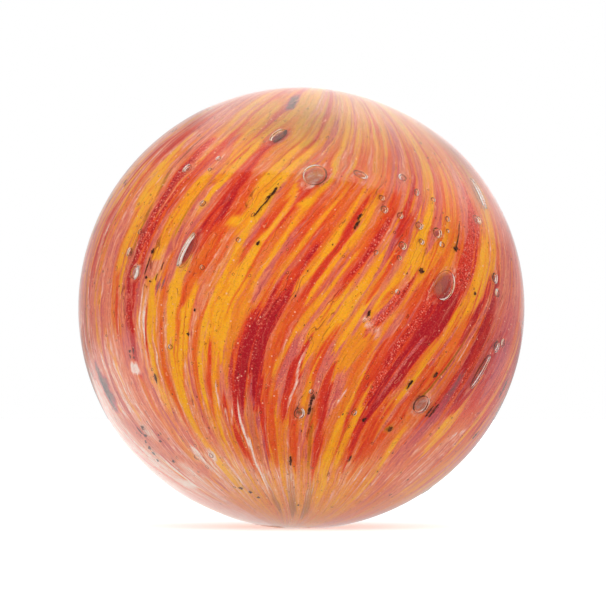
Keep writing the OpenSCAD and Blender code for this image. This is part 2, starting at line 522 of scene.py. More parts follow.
# each streak: colour, then top, middle and bottom as (streak number, latitude, width) in degrees
streaks = [
    # left side
    ("yellow", (-67, 46, 4), (-60, 27, 8.5), (-55.5, -4, 1)),
    ("brown", (-60, 42, .7), (-57.5, 31, 1), (-55, 15, .6)),
    ("seedyRed", (-54.5, 43, 3.5), (-52.5, 33, 6), (-51.5, 12, 5.5)),
    ("seedyCrimson", (-54, 36, 1.5), (-52.6, 27, 3.5), (-52, 16, 3)),
    ("seedyCrimson", (-53, 22, 4), (-52, 2, 4.5), (-51.3, -17, 2)),
    ("vermilion", (-49.7, 35, 2), (-49.5, 22, 2), (-49.5, 12, 1.5)),
    ("pink", (-49, 18, 1.5), (-49, 10, 1.5), (-48.5, 2, 2)),
    ("yellow", (-46, 32, 3), (-45.4, 20, 5), (-45.6, 11, 4)),
    ("brown", (-43.4, 30, .5), (-43, 24, .6), (-42.8, 18, .5)),
    ("yellow", (-47.5, 60, 6), (-42.5, 43, 5), (-39.3, 27, 1.6)),
    ("pink", (-43, 32, 1.5), (-42, 20, 2), (-42, 10, 2)),
    ("red", (-38, 46, 1), (-36, 35, 2.6), (-35, 20, 4.5)),
    ("crimson", (-35.5, 32, 1.5), (-34.7, 25, 3), (-36, 16, 2.5)),
    ("vermilion", (-34, 20, 4), (-31.5, 13, 4), (-33, 5, 3)),
    ("pink", (-39, 28, 1), (-38.5, 20, 2), (-38.5, 8, 2)),
    ("vermilion", (-39.5, 10, 2.5), (-40, 5, 3), (-40.5, 1, 2)),
    ("blush", (-67, 22, 6), (-65, 8, 8), (-64, -8, 6)),
    ("orange", (-61, 24, 1.5), (-60.5, 10, 1.5), (-59, 0, 2)),
    ("brown", (-70.5, 22, .6), (-71, 14, .8), (-71.5, 5, .5)),
    ("yellow", (-72, 5, 2), (-71, 3, 3), (-71, 1, 2)), ("amber", (-67, -3, 2), (-65, -9, 3), (-62, -18, 2)),
    ("amber", (-70, -6, 2), (-67.5, -20, 3), (-63.5, -30, 3)),
    # lower left
    ("vermilion", (-59, 0, 3), (-57.5, -5, 4), (-56, -16, 2)),
    ("pink", (-54, -4, 1.5), (-54, -12, 3), (-55, -22, 2)),
    ("pink", (-49.5, -8, 1), (-49, -18, 3), (-48, -29, 2)),
    ("salmon", (-48.5, -1, 2), (-48.5, -8, 2.5), (-48, -14, 1.5)),
    ("pink", (-52, 2, .5), (-49.4, -6, .8), (-49.2, -14, .5)),
    ("crimson", (-52, 4, 3), (-51, -4, 2.2), (-51, -15, 1.4)),
    ("pale", (-47.6, -1, .4), (-47.6, -7, .7), (-47.4, -13, .4)),
    ("pale", (-45.8, -2, .4), (-45.8, -8, .6), (-46, -14, .4)),
    ("crimson", (-45, -6, .5), (-45, -12, .7), (-45.3, -16, .4)),
    ("yellow", (-44, 2, 2), (-43, -10, 2.5), (-43, -25, 2)),
    ("orange", (-40.8, 0, 2.5), (-40.3, -12, 3), (-39.5, -22, 2)),
    ("salmon", (-41, -2, 1.5), (-40.5, -8, 1.5), (-40, -15, 1)),
    ("vermilion", (-39.5, -17, 1.5), (-39, -24, 2.2), (-38.8, -30, 1.5)),
    ("vermilion", (-39.5, -12, 1.5), (-38.5, -25, 2), (-38.5, -38, 1)),
    ("orange", (-51.5, -23, 1.5), (-50, -35, 3.5), (-49, -47, 2.5)),
    ("blush", (-56, -18, 3), (-57, -28, 5), (-58, -45, 6)),
    ("mauve", (-47, -28, .8), (-46, -34, 1), (-45.5, -40, .6)),
    ("pink", (-42, -34, 2), (-41.5, -38, 4), (-42, -42, 2)),
    # centre
    ("yellow", (-37, 9, 2), (-36, 0, 4), (-36, -8, 2.5)),
    ("yellow", (-31.5, 2, 3), (-32, -10, 5), (-35, -24, 4.5)),
    ("yellow", (-35.5, -20, 3), (-34.5, -28, 4), (-35, -35, 2)),
    ("amber", (-34.5, -33, 3), (-33.5, -45, 3.5), (-33.5, -56, 3)),
    ("orange", (-34, -2, 1.5), (-33.5, -4, 2), (-34, -8, 1)),
    ("vermilion", (-26.5, -4, 1), (-27, -13, 2.2), (-27.5, -24, 1.5)),
    ("pink", (-30, -18, 1), (-28.5, -26, 3), (-28, -33, 2)),
    ("yellow", (-21.5, 8, 7), (-21.5, -2, 8.5), (-21.5, -11, 7)),
    ("yellow", (-24.5, -6, 3), (-24.5, -14, 3.5), (-25, -24, 1.5)),
    ("yellow", (-18.5, -6, 2.5), (-18.5, -12, 1.5), (-18.5, -15, 1)),
    ("vermilion", (-22, -14, 1.5), (-22, -22, 2.5), (-23, -30, 2)),
    ("amber", (-21, -14, 1.2), (-21, -25, 2.5), (-22.5, -36, 2)),
    ("amber", (-15.5, -2, 3), (-15.5, -10, 3.5), (-16, -16.5, 3)),
    ("dustyRed", (-7.5, 14, 3), (-7, 2, 5), (-8, -12, 7)),
    ("dustyRed", (-12, -7, 3), (-12.5, -15, 4), (-13, -28, 4)),
    ("crimson", (-10.5, -8, 2), (-10, -15, 3), (-10, -24, 2)),
    ("crimson", (-6, -5, 2), (-5.5, -15, 3), (-6, -25, 2)),
    ("orange", (-3, -3, 1), (-2.5, -10, 1), (-2.5, -18, 1)),
    ("vermilion", (-1.5, 0, 2), (-1.5, -12, 2.5), (-1.5, -30, 3)),
    ("seedyPink", (-14, -15, 2), (-13.5, -24, 5), (-13, -29, 4)),
    ("blush", (-17.5, -13, 2), (-17, -22, 4), (-17.5, -32, 4)),
    ("red", (-17.5, -32, 3), (-14.5, -39, 4), (-11, -50, 2)),
    ("white", (-11.8, -32, .7), (-9.8, -41, .8), (-9.8, -55, .5)),
    ("petal", (-9, -27, 5), (-7, -35, 6), (-5.5, -47, 4)),
    ("mauve", (-7, -26, .8), (-2.8, -36.5, 1.6), (-3, -48, 1)),
    ("red", (-4.5, -25, 3), (-1.5, -33, 2.5), (-1.5, -42, 2)),
    # top middle
    ("amber", (-33, 55, 3), (-31, 42, 4), (-29, 30, 4)),
    ("yellow", (-27, 34, 3), (-25, 24, 3), (-24, 13, 2.5)),
    ("yellow", (-28.5, 42, 3), (-28, 32, 4), (-28, 24, 3)),
    ("vermilion", (-33, 32, 2), (-31.5, 26, 3), (-31.5, 20, 3)),
    ("pink", (-25, 32, 1), (-24, 26, 2), (-23.5, 20, 2)),
    ("vermilion", (-22, 29, 1.5), (-22, 22, 2.5), (-22, 15, 1.5)),
    ("red", (-20, 34, 2), (-19.5, 30, 2), (-19, 26, 1.5)),
    ("yellow", (-22, 34, 1.5), (-20.5, 26, 2), (-20, 20, 1.5)),
    ("yellow", (-20.5, 20, 2), (-20, 12, 3), (-20, 2, 4)),
    ("yellow", (-17, 28, 1), (-15, 16, 1.5), (-15, 8, 2)),
    ("pink", (-14, 22, 1), (-13, 14, 2), (-13.5, 6, 2)),
    ("vermilion", (-14, 36, 1.5), (-14, 28, 2), (-12.5, 18, 3)),
    ("yellow", (-10.5, 30, 1.5), (-10.5, 22, 2), (-10, 13, 1.5)),
    ("vermilion", (-9, 26, 2), (-8.5, 16, 2.5), (-7.5, 10, 3)),
    ("pink", (-8.5, 20, .8), (-8.5, 14, 1.2), (-9.5, 8, 1)),
    ("yellow", (-5.5, 30, 1.5), (-4.5, 18, 3.5), (-4, 8, 2)), ("red", (-2, 28, 2), (-1, 18, 3), (-1, 8, 2)),
    ("yellow", (1, 28, 2), (1.5, 20, 2.5), (.5, 9, 1.5)),
    ("pink", (2.5, 16, 1.5), (2.3, 12, 2), (2.5, 7, 1.5)),
    ("amber", (-19.5, 55, 2), (-18.5, 45, 1.6), (-16.2, 30, 1.2)),
    ("amber", (-13, 52, .8), (-12, 45, 1), (-11, 34, .8)),
    ("amber", (-9.5, 55, .8), (-9.5, 44, .8), (-9, 33, .6)),
    ("amber", (-1.2, 52, 1.5), (-1.2, 42, 1.5), (-.8, 28, 1.2)),
    ("amber", (1.5, 50, .8), (1.5, 42, .8), (1.5, 35, .6)),
    ("pink", (-24, 55, 2), (-23, 46, 1.5), (-21, 42, 1)),
    ("salmon", (-16.5, 52, 2), (-15, 42, 2), (-14, 33, 1.5)), ("pink", (5, 55, 6), (5, 45, 6), (6, 34, 6)),
    # right of the centre
    ("vermilion", (7, 30, 4), (7.5, 20, 4), (6.5, 10, 3)),
    ("seedyRed", (7.5, 24, 2), (7.5, 20, 3), (7, 15, 2)),
    ("amber", (10.5, 50, 1.2), (10.8, 36, .8), (10.5, 28, .6)),
    ("red", (12.8, 34, 3), (12.8, 26, 5), (13, 19, 4)),
    ("pink", (13, 21, 3), (13.2, 16, 2), (13.5, 12, .6)),
    ("amber", (13, 52, 1.5), (14, 44, 1.2), (14.5, 36, .8)),
    ("pink", (17, 44, 4), (17.5, 34, 3), (17, 26, 2.5)),
    ("vermilion", (16, 22, 2), (16.5, 16, 2), (16, 8, 2)),
    ("yellow", (18, 27, .8), (18.3, 22, 1.2), (18.5, 16, 2)),
    ("yellow", (21.5, 42, 1.5), (21.5, 30, 2.5), (21, 18, 4.5)),
    ("yellow", (22, 19, 5), (24, 14, 10), (28, 11, 3)),
    ("yellow", (19.5, 12, 2), (20, 8, 1.5), (19.5, 4, 1)),
    ("pink", (25, 37, 2.5), (25, 28, 3), (25.5, 22, 2)),
    ("amber", (28.5, 34, 2.5), (28.5, 26, 3.5), (29, 17, 4)),
    ("orange", (32.5, 30, 3), (32.5, 22, 4), (33, 16, 3)), ("blush", (40, 42, 6), (39, 34, 6), (38, 28, 3)),
    ("seedyRed", (42, 33, 5), (41.5, 22, 7.5), (40.5, 13, 7)),
    ("red", (39, 16, 4), (38, 8, 8), (37, 0, 11)), ("crimson", (37.5, 2, 9), (38, -10, 7), (36.5, -29, 4)),
    ("vermilion", (29.5, 13, 1), (30, 8, 4), (31, 1, 5)),
    ("seedyRed", (24.5, 7, 2), (23.5, 3, 4), (22.5, -2, 3)),
    ("seedyPink", (22.5, 2, 2), (22, -1, 2), (22, -3, 1)),
    ("amber", (27, 10, 1.5), (26.5, 5, 1.2), (25.5, -3, 1)),
    ("pink", (28.5, 0, 1), (28, -3, 2), (27, -6.5, .6)),
    ("pink", (31.3, 3, .5), (31.3, -2, .6), (31, -6, .5)),
    ("yellow", (15.8, 14, 2), (16.5, 6, 3), (16, -4, 2.5)),
    ("pink", (13.8, 11, 1), (13.8, 3, 1.2), (13.8, -2, .8)),
    ("yellow", (12, 14, 3), (12, 4, 4), (11.5, -7, 4)), ("pink", (9.3, 12, 1), (9.3, 5, 1), (8.8, 0, 1)),
    ("yellow", (8, 4, 2), (7.5, -3, 6), (8.5, -9, 5)), ("yellow", (4, 12, 1), (3.5, 5, 2), (2, -3, 2.5)),
    ("yellow", (2, -3, 2.5), (1.2, -9, 1.8), (.5, -14, 1.2)),
    ("salmon", (6, 12, 2), (5.5, 5, 2), (4.8, -3, 1)), ("pink", (18, 16, 1.5), (18, 8, 2), (18, 0, 1.5)),
    ("pink", (4.8, 3, 1), (4, -4, 1), (3.6, -9, 1)),
    ("coral", (3.6, -11, 3), (3.6, -18, 4.5), (3.2, -26, 3)),
    # lower right of the centre
    ("red", (6.6, -13, 2), (6.6, -18, 4), (7, -27, 3)),
    ("coral", (15.5, -8, 3), (15, -12, 4.5), (14.5, -16, 3)),
    ("vermilion", (12.2, -7, 2), (12, -12, 3), (12.5, -18, 2)),
    ("amber", (21, -3, 5), (21, -10, 6), (20, -18, 3)),
    ("orange", (24.5, -10, 3), (25.5, -16, 3), (26.5, -24, 2)),
    ("coral", (21, -19, 3), (22, -23, 4.5), (22.8, -26, 3)),
    ("red", (17.5, -18, 2), (18, -23, 3), (19.5, -28, 3)),
    ("red", (19, -26, 3), (21, -34, 4), (22.5, -46, 2.5)),
    ("amber", (12, -17, 1), (12.5, -23, 2.5), (14, -30, 2)),
    ("window", (16.3, -31, 1), (18, -39, 3.2), (20.2, -50, 1.4)),
    ("pink", (15, -32, 1.5), (16.5, -42, 1.5), (19.5, -50, .8)),
    ("pink", (20, -36, .8), (21, -44, 1), (21, -50, .6)),
    ("vermilion", (2, -28, 4), (2, -36, 4), (2, -42, 3)),
    ("amber", (3.5, -31, 1), (4.5, -40, 1.5), (4.5, -55, 2)),
    ("vermilion", (10, -30, 4), (11, -36, 4), (12, -43, 3)),
    ("yellow", (27.5, -21, 2), (28, -30, 4), (28.5, -41, 4)),
    ("amber", (28.5, -38, 5), (29, -48, 5), (30, -58, 5)),
    ("yellow", (32.5, -24, 2), (33, -34, 3), (33.5, -43, 2)),
    ("vermilion", (31, -26, 1.5), (31, -30, 1.5), (31.5, -36, 1)),
    ("vermilion", (30.5, 0, 5), (31, -12, 6), (31.5, -26, 3.5)),
    ("seedyRed", (33.5, 4, 2), (33, -8, 2.5), (33.5, -22, 2)),
    ("red", (28.3, -9, .6), (28.3, -14, .8), (28.3, -18, .5)),
    ("seedyPink", (37.8, -8, 1.5), (37.5, -14, 1), (37.5, -20, .5)),
    ("vermilion", (42, -28, 4), (42, -38, 6), (43, -45, 3)),
    ("red", (36, -30, 2), (37, -38, 2), (38, -44, 1)),
    # right side
    ("yellow", (53.5, 34, 6), (50.5, 18, 8.5), (46.5, 0, 6.5)),
    ("yellow", (46.5, 2, 6.5), (44.4, -10, 2.4), (43.7, -30, 1.4)),
    ("orange", (50, -4, 5), (50, -14, 6), (48.5, -22, 4)),
    ("seedyPink", (46.8, -10, 1), (46, -20, 1.5), (45.5, -32, 1)),
    ("vermilion", (48, -20, 3), (48, -30, 4), (46, -38, 4)),
    ("brown", (52.5, -4, .5), (52, -12, .8), (51.5, -18, .5)),
    ("pink", (53.5, -5, .5), (53, -12, .6), (52.5, -18, .5)),
    ("orange", (55.5, -3, 1), (54.5, -10, 1.5), (53.5, -20, 1)),
    ("crimson", (53.5, 8, 2), (52, 2, 3), (51.5, -3, 2)),
    ("seedyPink", (55, 2, 2), (54.5, -1, 2), (54, -4, 1)), ("crimson", (58, 8, 3), (58, 0, 5), (59, -8, 5)),
    ("seedyRed", (60, -5, 6), (60.5, -14, 7), (60, -21, 5)),
    ("crimson", (67.5, -8, 3), (68.5, -14, 3.5), (66, -22, 5)),
    ("mauve", (59.5, -17, 2.5), (59, -26, 6), (59, -37, 4)),
    ("pink", (58, -33, 2), (60, -40, 5), (61, -48, 3)), ("amber", (68, -22, 1), (68, -28, 5), (69, -35, 3)),
    ("yellow", (53, -34, 1.5), (54.5, -42, 2), (56, -53, 1.5)),
    ("pink", (73, -8, 3), (75, -14, 4), (76, -20, 2)), ("red", (82, -12, 6), (84, -20, 6), (85, -28, 4)),
    ("salmon", (63, 16, 2), (63, 8, 3), (62, 0, 2)),
    # painted highlight: the bright line along the long bell at (66, -13)
    ("white", (63.5, -17, .3), (64.5, -13, .5), (66.5, -9, .3)),
    ("orange", (68, 17, 3), (68, 14, 3), (68, 10, 2)),
    # pale outlines, a scar and a few marks across the flow
    ("pale", (-20.3, -23, .4), (-19.6, -29, .8), (-17.6, -32.7, .6)),
    ("pale", (-14.8, -28, .5), (-15.4, -31.5, .8), (-17.4, -33.2, .6)),
    ("pale", (7, -14, .5), (8.2, -19, .8), (7.8, -26, .5)),
    ("pale", (24.8, -22, .4), (24.2, -25, .7), (23, -28, .4)),
    ("vermilion", (-42, -51, 3), (-50, -54, 5), (-57, -57, 3)),
    ("faded", (10, -44, 1), (9, -55, 7), (8, -66, 8)), ("faded", (-6, -48, 1), (-8, -58, 5), (-8, -66, 6)),
    ("faded", (22, -50, 1), (22, -60, 6), (22, -68, 8)),
    ("slate", (-40, 4.5, 1), (-41, 3, 1.6), (-42.5, 1.5, 1)),
    ("pale", (-43.5, -38, .5), (-43.5, -42, 1), (-43, -46, .5)),
    ("pale", (-42.5, -45, .5), (-42, -48, 1), (-42, -52, .5)),
    ("pink", (-74, -33, 3), (-71.5, -40, 6), (-66, -46, 5)),
    ("mauve", (-60, -43, 3), (-53, -49, 5), (-48, -55, 3)),
]

# round patches in the colours: paint, then streak number, latitude, width and length in degrees
patches = [
    ("gold", 18.6, -1.6, 2.4, 1.8), ("gold", 20.8, -2.8, 2.6, 1.9), ("gold", 23, -4, 2.6, 1.9),
    ("gold", 25, -5.2, 2, 1.7), ("blush", 28, -2.8, 2.2, 6), ("brown", 47.7, -31.8, 2.8, 2.6),
    # painted highlights on this line: the white patch at (-52.6, -19.8), the pale one over the bell at
    # (-51.5, 6) and the blush at (65, 23)
    ("white", -52.6, -19.8, 4.2, 3), ("pale", -51.5, 6, 2.4, 3), ("blush", 65, 23, 4, 7),
    ("pale", -34.5, -45, 2.6, 3.2), ("pale", -43.5, -45, 3.4, 5), ("pale", 79, -30.5, 1.6, 1.4),
    ("pale", 76, -32.5, 1.2, 2), ("pale", 81, -34.5, 1.2, 1.6), ("ochre", -17.4, 29.4, 3.2, 2.8),
    ("ochre", -29.7, 22.4, 3.6, 4), ("ochre", -61, 26.4, 3.8, 3.8), ("pink", -73, -38, 6, 9),
    ("pink", -67.5, -43, 8, 6), ("pink", -60, -46.5, 9, 5), ("pink", -51.5, -50.5, 8, 5.5),
    ("gold", -80, -57.5, 8, 2.5), ("slate", -75.2, -20.5, 3, 4), ("slate", -74.3, -24, 6, 5),
    ("slate", -74.6, -28, 6, 5), ("slate", -76, -31, 3.5, 3), ("slate", -43.6, 67, 1.2, 3),
    ("slate", -42.9, 64.8, 1.4, 3), ("slate", -42.1, 62.6, 1.1, 3), ("brown", 12, -28.8, 2, 2.2),
    ("ochre", -28.5, 49.5, 3, 3.4), ("ochre", -65, 37.5, 2.6, 3), ("rosy", -45.5, 7.5, 4.2, 4.6),
]

# broad soft washes: streak number, latitude, width and length in degrees, then what they add
# to hue, veil, tone and smoke
washes = [
    (-37, -4, 36, 60, 0.12, 0.02, 0.03, -0.05), (-31, -38, 26, 26, 0.14, 0.12, 0.06, -0.12),
    (-9, -15, 13, 26, -0.17, -0.02, 0, 0.03), (0, 6, 22, 26, 0, -0.08, -0.02, 0.03),
    (-27, 42, 12, 14, 0.18, 0, 0, -0.06), (-62, 58, 40, 22, 0, -0.14, -0.04, 0.21),
    (-8, 62, 84, 24, 0.22, -0.06, -0.04, 0.05), (40, -56, 140, 26, 0.18, 0.03, 0.06, 0),
    (0, -54, 60, 18, 0, 0.08, 0.03, -0.1), (-74, -32, 44, 44, 0.18, 0.3, 0.11, -0.05),
    (-60, -54, 70, 20, 0.16, 0.16, 0.09, -0.1), (67, 4, 26, 58, 0, 0.16, -0.16, 0.05),
    (-10, 22, 26, 20, 0, -0.07, -0.02, 0.07), (95, -48, 34, 20, 0.14, 0, 0.04, 0),
    (-76, 33, 26, 22, 0.16, -0.05, 0, 0), (25, 45, 14, 16, 0.14, 0, 0, 0), (14, 3, 18, 16, 0.09, 0, 0, 0),
    (-42, -18, 12, 26, 0, 0.14, 0.05, 0), (78, -38, 32, 30, 0.24, 0.2, 0.1, -0.02),
    (47, 31, 12, 16, 0.06, 0, 0, 0.06), (8, -22, 12, 14, 0, 0.03, 0, -0.06),
]

rearPattern = {
    "count": 300, "seed": 11, "streaks": (76, 292), "lats": (-52, 52), "half": (9, 30), "drift": (-3, 3),
    "widths": (1, 1.5, 2, 2.5, 3, 4, 5, 7), "spread": (0.8, 1.2), "ends": (0.3, 0.8),
    "shares": {
        "yellow": 7, "amber": 5, "orange": 4, "vermilion": 6, "red": 6, "seedyRed": 3, "crimson": 3,
        "pink": 7, "salmon": 3, "seedyPink": 2, "mauve": 1, "pale": 1, "brown": 1,
    },
    "narrow": ("brown", "pale"),
}
thinPattern = {
    "count": 780, "seed": 16, "strength": 0.6, "lats": (-60, 64), "half": (3, 11), "width": (0.35, 0.9),
    "ends": 0.4, "names": (
        "orange", "amber", "amber", "vermilion", "vermilion", "salmon", "blush", "yellow", "red",
    ),
    # one in this many lies towards the left or the right, in other colours
    "besideEach": 3, "beside": (46, 104),
    "left": ("pale", "salmon", "pink", "blush", "mauve", "amber"),
    "right": ("pale", "crimson", "pale", "pink", "mauve", "red"),
}


def rearStreaks():
    # the side away from the camera goes on in the same way, with streaks drawn at random
    look = rearPattern
    pick = random.Random(look["seed"])
    names = [name for name, share in look["shares"].items() for turn in range(share)]
    made = []
    for index in range(look["count"]):
        streak = pick.uniform(*look["streaks"])
        middle = pick.uniform(*look["lats"])
        half = pick.uniform(*look["half"])
        width = pick.choice(look["widths"]) * pick.uniform(*look["spread"])
        drift = pick.uniform(*look["drift"])
        name = pick.choice(names)
        if name in look["narrow"]:
            width = min(width, 1)
        top = (streak + drift, middle + half, width * pick.uniform(*look["ends"]))
        bottom = (streak - drift, middle - half, width * pick.uniform(*look["ends"]))
        made.append((name, top, (streak, middle, width), bottom))
    return made


def thinStreaks():
    # fine lines of colour laid over the broad streaks on every side
    look = thinPattern
    pick = random.Random(look["seed"])
    made = []
    for index in range(look["count"]):
        names = look["names"]
        streak, middle = pick.uniform(-180, 180), pick.uniform(*look["lats"])
        if index % look["besideEach"] == 0:
            streak = math.copysign(pick.uniform(*look["beside"]), streak)
            names = look["left"] if streak < 0 else look["right"]
        half, width = pick.uniform(*look["half"]), pick.uniform(*look["width"])
        name, end = pick.choice(names), width * look["ends"]
        top, bottom = (streak, middle + half, end), (streak, middle - half, end)
        made.append((name, top, (streak, middle, width), bottom))
    return made


def around(a):
    # degrees brought to -180 to 180
    return (a + 180) % 360 - 180


def ripple(u, lat, wide, long, seed):
    # smooth random waves from -1 to 1, this wide across the streaks and this long along them
    columns = round(360 / wide)
    table = np.random.default_rng(seed).uniform(-1, 1, (columns, int(200 / long) + 4))
    x, y = (u % 360) / 360 * columns, (lat + 100) / long + 1
    column, row = np.floor(x).astype(int), np.floor(y).astype(int)
    shareX, shareY = smooth(x - column), smooth(y - row)
    column, after = column % columns, (column + 1) % columns
    lower = table[column, row] * (1 - shareX) + table[after, row] * shareX
    upper = table[column, row + 1] * (1 - shareX) + table[after, row + 1] * shareX
    return lower * (1 - shareY) + upper * shareY


# random waves in the pattern: strength, width across, length along, seed
waveSets = {
    "hue": ((0.12, 4, 30, 1), (0.1, 1.5, 20, 2)),
    "veil": ((0.2, 3, 25, 3),),
    "sideways": ((0.5, 3, 9, 4), (0.25, 1.1, 5, 5)),
    "lengthways": ((3.0, 0.9, 30, 6), (1.6, 0.5, 14, 7)),
    "fray": ((1, 1.3, 14, 8), (0.6, 0.7, 7, 9)),
    "crownHue": ((0.38, 1.5, 60, 21), (0.266, 0.8, 40, 22)),
    "crownVeil": ((0.2, 1.2, 50, 23),),
}


def wavesOf(name, u, lat):
    return sum(strength * ripple(u, lat, *rest) for strength, *rest in waveSets[name])


# how the colours give way to a bell: bells from this width (mm), within so many half widths
aroundBells = {"bendFrom": 0.6, "bendNear": 9, "bendShare": 0.8, "tintFrom": 0.7, "tintNear": 2}
# and what shows in it: where its inside ends and how softly, then what the colours come to there;
# inside it paler and less smoky as painted light against the shade the bell casts, its pale ring a painted
# highlight
bellTintAndLight = {
    "inside": (1.05, 0.2), "core": (1, 0.6), "ring": 1.12, "ringWide": (0.12, 0.2),
    "veil": (0.5, 0.5), "hue": (0.75, 0.4), "smokeAndShade": 0.15, "ringVeil": (1.1, 0.5), "ringTone": (0.84, 0.7),
}


def bendRoundBells(u, lat):
    # streaks part round each bell; returns the streak numbers as they run there
    bent = u.copy()
    reach = aroundBells["bendNear"]
    for bellU, bellLat, wide, long in bells:
        if wide < aroundBells["bendFrom"]:
            continue
        x = around(u - bellU) * np.cos(np.radians(lat))
        y = lat - bellLat
        near = np.nonzero((np.abs(x) < reach * wide) & (np.abs(y) < reach * long))[0]
        far = (x[near] * degree / mm / (0.5 * wide)) ** 2 + (y[near] * degree / mm / (0.5 * long)) ** 2
        bent[near] -= around(u[near] - bellU) * aroundBells["bendShare"] / np.maximum(far, 1)
    return bent


def tintAndLightUnderBells(u, lat, layers):
    # under a bell the colours are drawn warmer, paler and less smoky, partly the colours seen through it
    # and partly painted light making up for the shade the bell casts on them; the thin pale ring is a
    # painted highlight on its rim
    hue, veil, tone, smokeAndShade, seedy = layers
    look, reach = bellTintAndLight, aroundBells["tintNear"]
    for bellU, bellLat, wide, long in bells:
        if wide < aroundBells["tintFrom"]:
            continue
        x = around(u - bellU) * np.cos(np.radians(lat)) * degree / mm / (0.5 * wide)
        y = (lat - bellLat) * degree / mm / (0.5 * long)
        near = np.nonzero((np.abs(x) < reach) & (np.abs(y) < reach))[0]
        far = np.hypot(x[near], y[near])
        if (bellU, bellLat) in underBells:
            core = smooth((look["core"][0] - far) / look["core"][1])
            for field, aim in zip(layers, underBells[bellU, bellLat]):
                field[near] += core * (aim - field[near])
        else:
            inside = smooth((look["inside"][0] - far) / look["inside"][1])
            for field, (aim, share) in ((veil, look["veil"]), (hue, look["hue"])):
                field[near] += share * inside * (aim - field[near])
            smokeAndShade[near] -= inside * look["smokeAndShade"]
        # painted highlight: a pale ring along the bell's rim
        ringWide = look["ringWide"][0] + look["ringWide"][1] / wide
        ring = np.clip(1 - np.abs(far - look["ring"]) / ringWide, 0, 1)
        for field, (aim, share) in ((veil, look["ringVeil"]), (tone, look["ringTone"])):
            field[near] += share * ring * (aim - field[near])


def dentUnderBells(placed):
    # the thick bells press into the colours beneath them
    beyond = colourLayer["dentBeyond"]
    for bellU, bellLat, wide, long in bells:
        thick = bellThickness(wide, long)
        pressed = airBells["cover"] + thick + airBells["gap"] - ballShape["casing"]
        if pressed < 0:
            continue
        here, along, across, out = frameAt(bellU, bellLat)
        offset = placed - np.array(here)
        x = offset @ np.array(across) / ((wide / 2 + beyond) * mm)
        y = offset @ np.array(along) / ((long / 2 + beyond) * mm)
        near = np.nonzero(x ** 2 + y ** 2 < 1)[0]
        near = near[(offset[near] @ np.array(out)) > -colourLayer["dentNear"]]
        dome = np.sqrt(1 - x[near] ** 2 - y[near] ** 2)
        wanted = pressed * smooth(dome * colourLayer["dentSteep"])
        placed[near] -= wanted[:, None] * np.array(out)
    return placed


# parts of the pattern: the streak number or latitude where each starts, and how soon it is full;
# the middle of the crown has its middle first
zones = {
    "left": (-56, 10), "right": (56, 8), "leftHalf": (-44, 22), "outerRight": (54, 14),
    "innerRight": (42, 12), "rightHalf": (14, 22), "offCrownLeft": (-26, 34), "offCrownRight": (58, 20),
    "above": (24, 22), "below": (44, 16), "top": (32, 18), "middleUp": (-5, 15), "lowUp": (-40, 20),
    "rear": (95, 25), "sidesEnd": (125, 30), "innerEnd": (80, 20), "crownMiddle": (-20, 34, 20),
}
# what each adds to veil, tone and smoke, and the hue it draws the colours to, by how much;
# the crown's smoke is painted shade that darkens the top
zoneAdds = {
    "crown": (0, 0.05, 0.3), "crownRight": (-0.22, 0, 0), "left": (0, 0.03, 0),
    "upperRight": (0.12, 0.16, 0), "window": (0, 0, 0.16), "below": (-0.12, 0, 0.15),
}
zoneHues = {"crown": (0.74, 0.35), "below": (0.8, 0.5)}
# the ground between the streaks: its own value, then what the left, the right and the rest add
ground = {
    "hue": 0.6, "hueRight": -0.2, "hueTop": 0.15,
    "veil": 0.42, "veilLeft": 0.2, "veilRight": 0.1, "veilRear": -0.12,
    "tone": 0.68, "toneLeft": 0.05, "toneRight": -0.15, "seedy": 0.3,
    "leftMilk": 0.26, "crownLess": (0.85, 0.7),
}


def past(value, name):
    # 1 past the start of this zone
    start, span = zones[name]
    return smooth((value - start) / span)


def beside(u, name):
    # 1 past the start of this zone on the left or the right, 0 again on the side away from the camera
    start, span = zones[name]
    end, fading = zones["sidesEnd"]
    return smooth((u * math.copysign(1, start) - abs(start)) / span) * smooth((end - abs(u)) / fading)


def groundColours(u, lat):
    # what lies between the streaks
    left, right = beside(u, "left"), beside(u, "right")
    middle, reach, span = zones["crownMiddle"]
    crown = past(lat, "top") * smooth((reach - abs(u - middle)) / span)
    hue = ground["hue"] + ground["hueRight"] * right + ground["hueTop"] * crown + wavesOf("hue", u, lat)
    veil = ground["veil"] + ground["veilLeft"] * left + ground["veilRight"] * right
    veil += ground["veilRear"] * past(abs(u), "rear") + wavesOf("veil", u, lat)
    tone = ground["tone"] + ground["toneLeft"] * left + ground["toneRight"] * right
    return [hue, veil, tone, np.zeros(len(u)), np.full(len(u), ground["seedy"])]


def brushOn(layers, goal, mask, near=slice(None)):
    # draws each channel towards its goal, and leaves it where there is none
    for field, aim in zip(layers, goal):
        if aim is not None:
            field[near] += (aim - field[near]) * mask


def paintStreak(layers, u, lat, fray, one, strength, pick):
    name, top, middle, bottom = one
    look = colourLayer
    places, lats, widths = (np.array(row) for row in zip(bottom, middle, top))
    tip = min(look["tip"], look["tipShare"] * (lats[2] - lats[0]))
    reach = widths.max() / 2 + 1 + np.ptp(places)
    near = (lat > lats[0] - tip) & (lat < lats[2] + tip) & (np.abs(around(u - middle[0])) < reach)
    near = np.nonzero(near)[0]
    here = lat[near]
    beyond = np.clip(np.maximum(lats[0] - here, here - lats[2]) / tip, 0, None)
    width = np.interp(here, lats, widths) * np.sqrt(np.clip(1 - beyond ** 2, 0, 1))
    width = width * (1 + look["frayed"] * fray[near])
    away = around(u[near] - np.interp(here, lats, places))
    edge = np.where(away > 0, pick.choice(look["edges"]), pick.choice(look["edges"]))
    soft = np.clip(look["softShare"] * width, look["leastSoft"], edge)
    mask = smooth((width / 2 + soft - np.abs(away)) / (2 * soft)) * (width > 0.01) * strength
    goal = [paints[name].get(key) for key in channels]
    if goal[0] is not None:
        goal[1] = look["plainVeil"]
    goal[3] = goal[3] or 0
    goal[4] = goal[4] or look["plainSeedy"]
    brushOn(layers, goal, mask, near)


